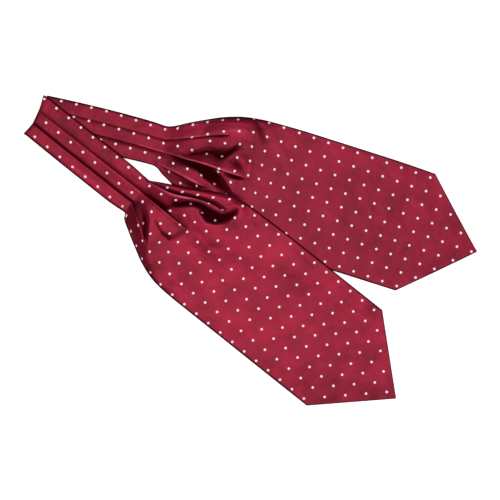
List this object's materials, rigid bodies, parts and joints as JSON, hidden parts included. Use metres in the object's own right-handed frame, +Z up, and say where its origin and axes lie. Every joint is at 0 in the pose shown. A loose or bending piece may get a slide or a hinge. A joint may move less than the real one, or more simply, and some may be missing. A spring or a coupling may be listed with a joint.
{
  "type": "cravat",
  "caption": "Satin day cravat with pin dots and pointed ends, folded in half at its pleated neckband and laid flat, one end over the other.",
  "frame": {"origin": "middle of the folded cravat's bounding box on the surface it lies on", "axes": "+X from the neck fold towards the pointed tips, +Y towards the back half, +Z up from the surface"},
  "size_m": [0.5983, 0.3478, 0.0136],
  "materials": {
    "dotted_satin": "smooth crimson satin with small white pin dots, a soft coloured lustre and pressed turned edges"
  },
  "bodies": {
    "root": {"front_blade": "dotted_satin", "back_blade": "dotted_satin", "front_neckband": "dotted_satin", "back_neckband": "dotted_satin"}
  },
  "joints": []
}
